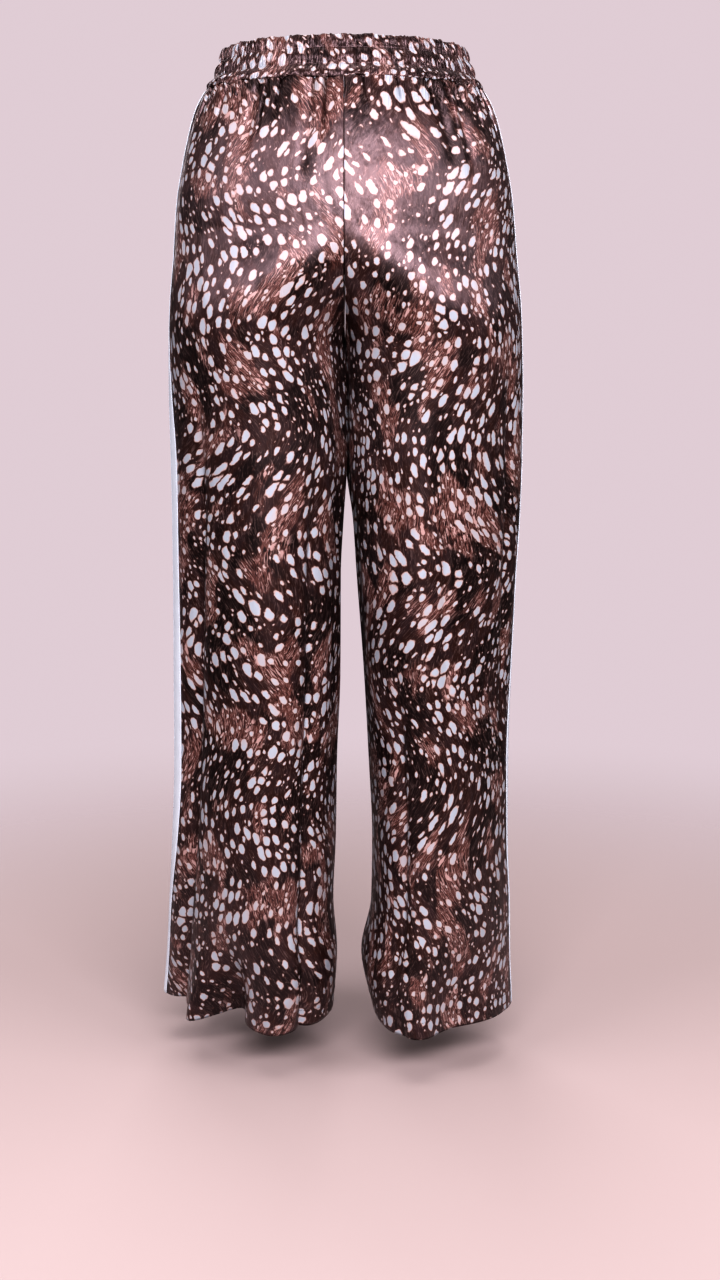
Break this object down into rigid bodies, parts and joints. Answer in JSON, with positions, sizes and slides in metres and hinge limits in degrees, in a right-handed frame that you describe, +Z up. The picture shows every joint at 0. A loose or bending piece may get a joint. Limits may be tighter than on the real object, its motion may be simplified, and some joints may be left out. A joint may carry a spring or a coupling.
{
  "type": "wide-leg jogger trousers",
  "caption": "Pull-on wide-leg joggers of printed satin, worn and hanging straight, with a gathered elastic waistband and a pale tape down each side seam.",
  "frame": {"origin": "the middle of the waist opening, halfway up the waistband, where the waist that wears the garment holds it", "axes": "+Z up the body, -Y the front, +X the wearer's left"},
  "size_m": [0.3954, 0.2573, 1.0236],
  "materials": {
    "printed_satin": "satin weave with a fawn-spot print",
    "white_tape": "plain woven tape"
  },
  "bodies": {
    "root": {"waistband": "printed_satin", "back_left": "printed_satin", "back_right": "printed_satin", "front_left": "printed_satin", "front_right": "printed_satin", "side_tape_left": "white_tape", "side_tape_right": "white_tape"}
  },
  "joints": []
}
